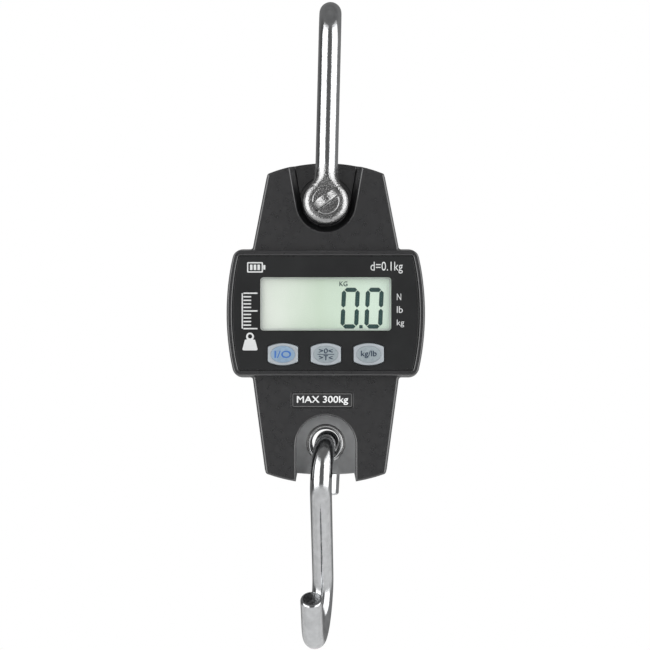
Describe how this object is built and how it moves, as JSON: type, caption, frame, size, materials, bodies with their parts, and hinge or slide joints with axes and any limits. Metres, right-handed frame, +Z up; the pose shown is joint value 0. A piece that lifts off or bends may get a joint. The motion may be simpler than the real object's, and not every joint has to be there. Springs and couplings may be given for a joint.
{
  "type": "crane scale",
  "caption": "Hand-size hanging scale: shackle above, S-hook below, load cell in a two-shell casing with a display and keys.",
  "frame": {"origin": "the seat inside the top of the shackle's bow, where a crane hook carries the scale", "axes": "+Z up along the hanging scale, +X to the right of someone reading the display, -Y out of the display"},
  "size_m": [0.0904, 0.0559, 0.2925],
  "materials": {
    "chrome": "polished chrome plate, bright, a little softened by handling",
    "cell_paint": "satin grey paint over aluminium, bare machined metal in the countersink",
    "gauge_foil": "amber polyimide foil",
    "cable_grey": "matt grey cable jacket",
    "case_black": "fine spark-eroded texture, satin black",
    "zinc_steel": "bright zinc plate",
    "panel_gloss": "glossy black overlay film",
    "lens": "clear polished window",
    "lcd": "pale green liquid-crystal glass with a soft sheen",
    "white_plastic": "natural white moulded plastic",
    "diffuser": "milky light guide",
    "zebra": "layered silicone connector",
    "board_green": "green solder resist",
    "chip_black": "black moulding compound",
    "tin": "tinned metal cans",
    "label": "printed black label with a pale border",
    "key_silver": "silver key with a paler domed face",
    "battery_sleeve": "shrink sleeve with bare ends",
    "wire_red": "red insulation",
    "wire_black": "black insulation"
  },
  "bodies": {
    "shackle": {"shackle_bow": "chrome", "shackle_pin": "chrome"},
    "casing": {"load_cell": "cell_paint", "strain_gauge_1": "gauge_foil", "strain_gauge_2": "gauge_foil", "strain_gauge_3": "gauge_foil", "strain_gauge_4": "gauge_foil", "gauge_cable": "cable_grey", "front_shell": "case_black", "rear_shell": "case_black", "shell_screw_1": "zinc_steel", "shell_screw_2": "zinc_steel", "shell_screw_3": "zinc_steel", "shell_screw_4": "zinc_steel", "shell_screw_5": "zinc_steel", "shell_screw_6": "zinc_steel", "cell_screw_1": "zinc_steel", "cell_screw_2": "zinc_steel", "board_screw_1": "zinc_steel", "board_screw_2": "zinc_steel", "board_screw_3": "zinc_steel", "board_screw_4": "zinc_steel", "face_panel": "panel_gloss", "display_lens": "lens", "lcd_panel": "lcd", "lcd_holder": "white_plastic", "backlight": "diffuser", "zebra_strip": "zebra", "main_board": "board_green", "main_chip": "chip_black", "crystal": "tin", "capacitor_1": "tin", "capacitor_2": "tin", "sensor_plug": "white_plastic", "capacity_label": "label", "switch_power": "chip_black", "switch_hold": "chip_black", "switch_unit": "chip_black", "battery_1": "battery_sleeve", "battery_2": "battery_sleeve", "battery_3": "battery_sleeve", "battery_spring_1": "zinc_steel", "battery_spring_2": "zinc_steel", "battery_spring_3": "zinc_steel", "contact_plate_start": "zinc_steel", "contact_plate_end": "zinc_steel", "contact_bridge_left": "zinc_steel", "contact_bridge_right": "zinc_steel", "battery_wire_red": "wire_red", "battery_wire_black": "wire_black"},
    "hook": {"load_hook": "chrome"},
    "key_power": {"key_power": "key_silver", "plunger_power": "white_plastic"},
    "key_hold": {"key_hold": "key_silver", "plunger_hold": "white_plastic"},
    "key_unit": {"key_unit": "key_silver", "plunger_unit": "white_plastic"},
    "battery_lid": {"battery_cover": "case_black", "cover_screw": "zinc_steel"}
  },
  "joints": [
    {"name": "shackle_pivot", "type": "hinge", "parent": "shackle", "child": "casing", "pos_m": [-0.002, 0, -0.08198], "axis": [0, 1, 0], "range_deg": [-26, 26]},
    {"name": "hook_pivot", "type": "hinge", "parent": "casing", "child": "hook", "pos_m": [-0.002, 0, -0.18998], "axis": [0, 1, 0], "range_deg": [-20, 16]},
    {"name": "press_power", "type": "slide", "parent": "casing", "child": "key_power", "axis": [0, 1, 0], "range_m": [0, 0.0008], "stiffness_N_per_m": 800},
    {"name": "press_hold", "type": "slide", "parent": "casing", "child": "key_hold", "axis": [0, 1, 0], "range_m": [0, 0.0008], "stiffness_N_per_m": 800},
    {"name": "press_unit", "type": "slide", "parent": "casing", "child": "key_unit", "axis": [0, 1, 0], "range_m": [0, 0.0008], "stiffness_N_per_m": 800},
    {"name": "battery_lid_lift", "type": "slide", "parent": "casing", "child": "battery_lid", "axis": [0, 1, 0], "range_m": [0, 0.03]}
  ]
}
